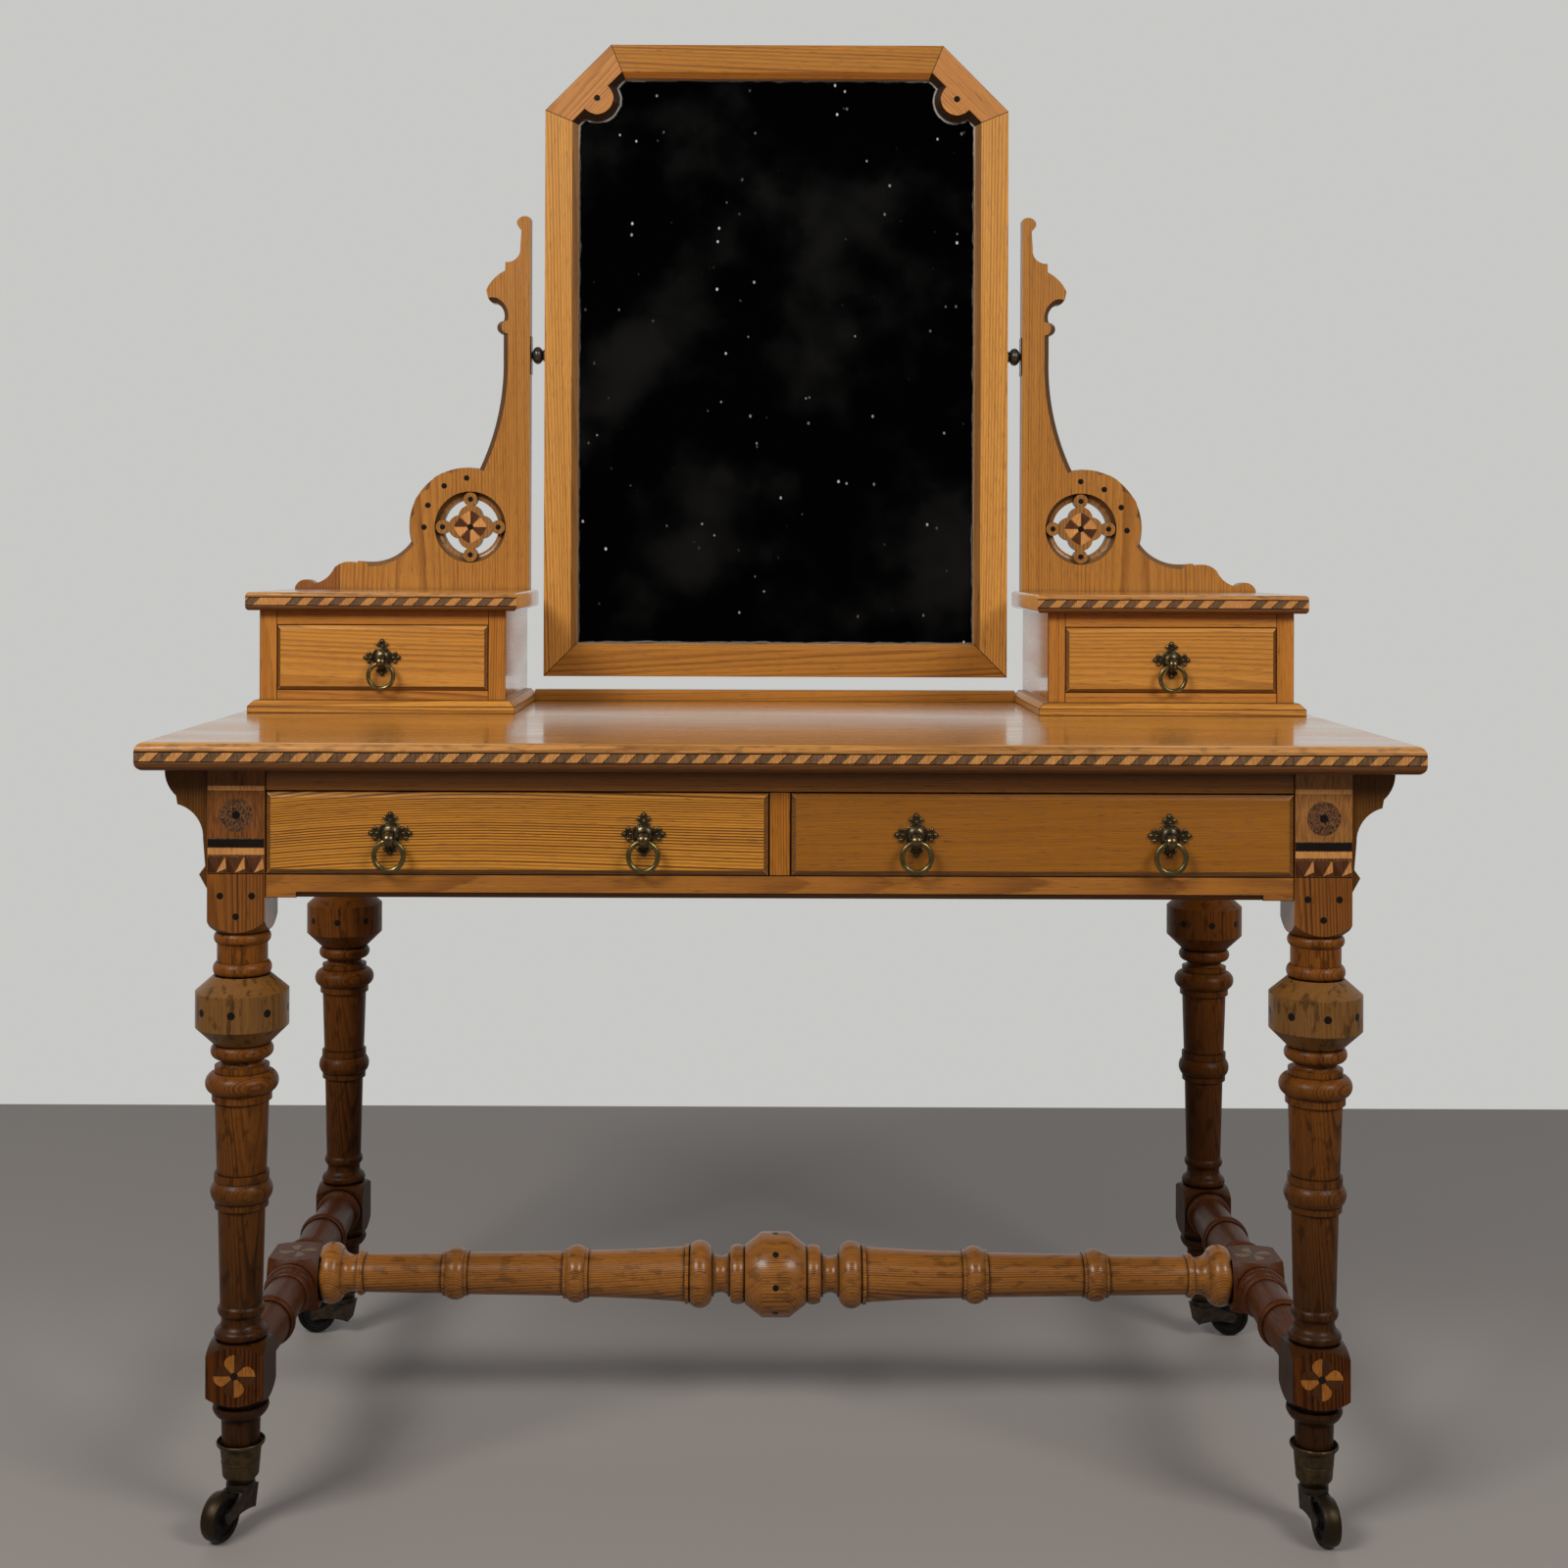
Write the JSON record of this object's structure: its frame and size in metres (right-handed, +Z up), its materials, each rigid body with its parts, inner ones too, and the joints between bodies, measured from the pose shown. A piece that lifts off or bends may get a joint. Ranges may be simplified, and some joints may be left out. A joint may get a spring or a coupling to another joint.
{
  "type": "dressing table",
  "caption": "Dressing table on turned castored legs with frieze drawers, trinket boxes and a tilting mirror between pierced harp supports.",
  "frame": {"origin": "on the floor under the middle of the desk top", "axes": "+Z up, -Y towards the sitter, +X to the sitter's right"},
  "size_m": [1.22, 0.61, 1.5652],
  "materials": {
    "pine": "honey-gold varnished pitch pine, satin",
    "pine_turned": "reddish brown varnished pitch pine, satin, rubbed",
    "pine_lining": "bare pine, dry",
    "pine_back": "bare pine board, dusty",
    "banding": "light and dark slips of inlay, varnished",
    "ebonised": "black stained turned wood, polished",
    "mirror_glass": "old silvered plate with foxed edges",
    "brass_pull": "aged brass, dark in the hollows",
    "brass_cup": "dull tarnished brass",
    "bronze_fork": "blackened brass casting",
    "castor_wheel": "worn brass tread, dark sides"
  },
  "bodies": {
    "table": {"box_case_left": "pine", "box_case_right": "pine", "box_plinths": "pine", "box_top_left": "pine", "box_top_right": "pine", "castor_cups": "brass_cup", "desk_top": "pine", "drawer_divider": "pine", "drawer_runners": "pine_lining", "edge_banding": "banding", "frieze_back_rail": "pine", "frieze_bottom_rail": "pine", "frieze_side_rails": "pine", "frieze_top_rail": "pine", "gallery_rail": "pine", "harp_left": "pine", "harp_right": "pine", "leg_front_left": "pine_turned", "leg_front_right": "pine_turned", "leg_rear_left": "pine_turned", "leg_rear_right": "pine_turned", "long_stretcher": "pine_turned", "pivot_plates": "brass_cup", "side_brackets": "pine", "side_stretcher_left": "pine_turned", "side_stretcher_right": "pine_turned"},
    "drawer_left": {"drawer_front_left": "pine", "drawer_box_left": "pine_lining", "drawer_pulls_left": "brass_pull"},
    "box_drawer_left": {"box_drawer_front_left": "pine", "box_drawer_box_left": "pine_lining", "box_pull_left": "brass_pull"},
    "drawer_right": {"drawer_front_right": "pine", "drawer_box_right": "pine_lining", "drawer_pulls_right": "brass_pull"},
    "box_drawer_right": {"box_drawer_front_right": "pine", "box_drawer_box_right": "pine_lining", "box_pull_right": "brass_pull"},
    "drawer_ring_left_a": {"drawer_ring_left_a": "brass_pull"},
    "drawer_ring_left_b": {"drawer_ring_left_b": "brass_pull"},
    "box_ring_left": {"box_ring_left": "brass_pull"},
    "drawer_ring_right_a": {"drawer_ring_right_a": "brass_pull"},
    "drawer_ring_right_b": {"drawer_ring_right_b": "brass_pull"},
    "box_ring_right": {"box_ring_right": "brass_pull"},
    "mirror": {"mirror_backboard": "pine_back", "mirror_corners": "pine", "mirror_glass": "mirror_glass", "mirror_pivots": "ebonised", "mirror_rail_bottom": "pine", "mirror_rail_top": "pine", "mirror_stiles": "pine"},
    "castor_fork_front_left": {"castor_fork_front_left": "bronze_fork"},
    "castor_wheel_front_left": {"castor_wheel_front_left": "castor_wheel"},
    "castor_fork_front_right": {"castor_fork_front_right": "bronze_fork"},
    "castor_wheel_front_right": {"castor_wheel_front_right": "castor_wheel"},
    "castor_fork_rear_left": {"castor_fork_rear_left": "bronze_fork"},
    "castor_wheel_rear_left": {"castor_wheel_rear_left": "castor_wheel"},
    "castor_fork_rear_right": {"castor_fork_rear_right": "bronze_fork"},
    "castor_wheel_rear_right": {"castor_wheel_rear_right": "castor_wheel"}
  },
  "joints": [
    {"name": "drawer_left_slide", "type": "slide", "parent": "table", "child": "drawer_left", "axis": [0, -1, 0], "range_m": [0, 0.36]},
    {"name": "box_drawer_left_slide", "type": "slide", "parent": "table", "child": "box_drawer_left", "axis": [0, -1, 0], "range_m": [0, 0.14]},
    {"name": "drawer_right_slide", "type": "slide", "parent": "table", "child": "drawer_right", "axis": [0, -1, 0], "range_m": [0, 0.36]},
    {"name": "box_drawer_right_slide", "type": "slide", "parent": "table", "child": "box_drawer_right", "axis": [0, -1, 0], "range_m": [0, 0.14]},
    {"name": "drawer_ring_left_a_swing", "type": "hinge", "parent": "drawer_left", "child": "drawer_ring_left_a", "pos_m": [-0.37213, -0.28775, 0.6691], "axis": [-1, 0, 0], "range_deg": [0, 85]},
    {"name": "drawer_ring_left_b_swing", "type": "hinge", "parent": "drawer_left", "child": "drawer_ring_left_b", "pos_m": [-0.13012, -0.28775, 0.6691], "axis": [-1, 0, 0], "range_deg": [0, 85]},
    {"name": "box_ring_left_swing", "type": "hinge", "parent": "box_drawer_left", "child": "box_ring_left", "pos_m": [-0.4437, 0.067, 0.8194], "axis": [-1, 0, 0], "range_deg": [0, 85]},
    {"name": "drawer_ring_right_a_swing", "type": "hinge", "parent": "drawer_right", "child": "drawer_ring_right_a", "pos_m": [0.13012, -0.28775, 0.6691], "axis": [-1, 0, 0], "range_deg": [0, 85]},
    {"name": "drawer_ring_right_b_swing", "type": "hinge", "parent": "drawer_right", "child": "drawer_ring_right_b", "pos_m": [0.37213, -0.28775, 0.6691], "axis": [-1, 0, 0], "range_deg": [0, 85]},
    {"name": "box_ring_right_swing", "type": "hinge", "parent": "box_drawer_right", "child": "box_ring_right", "pos_m": [0.4437, 0.067, 0.8194], "axis": [-1, 0, 0], "range_deg": [0, 85]},
    {"name": "mirror_tilt", "type": "hinge", "parent": "table", "child": "mirror", "pos_m": [0, 0.292, 1.1864], "axis": [1, 0, 0], "range_deg": [-40, 40]},
    {"name": "castor_front_left_swivel", "type": "hinge", "parent": "table", "child": "castor_fork_front_left", "pos_m": [-0.52, -0.249, 0.041], "axis": [0, 0, 1], "continuous": true},
    {"name": "castor_front_left_roll", "type": "hinge", "parent": "castor_fork_front_left", "child": "castor_wheel_front_left", "pos_m": [-0.53183, -0.27981, 0.023], "axis": [0.9336, -0.3584, 0], "continuous": true},
    {"name": "castor_front_right_swivel", "type": "hinge", "parent": "table", "child": "castor_fork_front_right", "pos_m": [0.52, -0.249, 0.041], "axis": [0, 0, 1], "continuous": true},
    {"name": "castor_front_right_roll", "type": "hinge", "parent": "castor_fork_front_right", "child": "castor_wheel_front_right", "pos_m": [0.52288, -0.28187, 0.023], "axis": [0.9962, 0.0872, 0], "continuous": true},
    {"name": "castor_rear_left_swivel", "type": "hinge", "parent": "table", "child": "castor_fork_rear_left", "pos_m": [-0.52, 0.256, 0.041], "axis": [0, 0, 1], "continuous": true},
    {"name": "castor_rear_left_roll", "type": "hinge", "parent": "castor_fork_rear_left", "child": "castor_wheel_rear_left", "pos_m": [-0.55275, 0.26002, 0.023], "axis": [-0.1219, -0.9925, 0], "continuous": true},
    {"name": "castor_rear_right_swivel", "type": "hinge", "parent": "table", "child": "castor_fork_rear_right", "pos_m": [0.52, 0.256, 0.041], "axis": [0, 0, 1], "continuous": true},
    {"name": "castor_rear_right_roll", "type": "hinge", "parent": "castor_fork_rear_right", "child": "castor_wheel_rear_right", "pos_m": [0.55268, 0.26059, 0.023], "axis": [-0.1392, 0.9903, 0], "continuous": true}
  ]
}
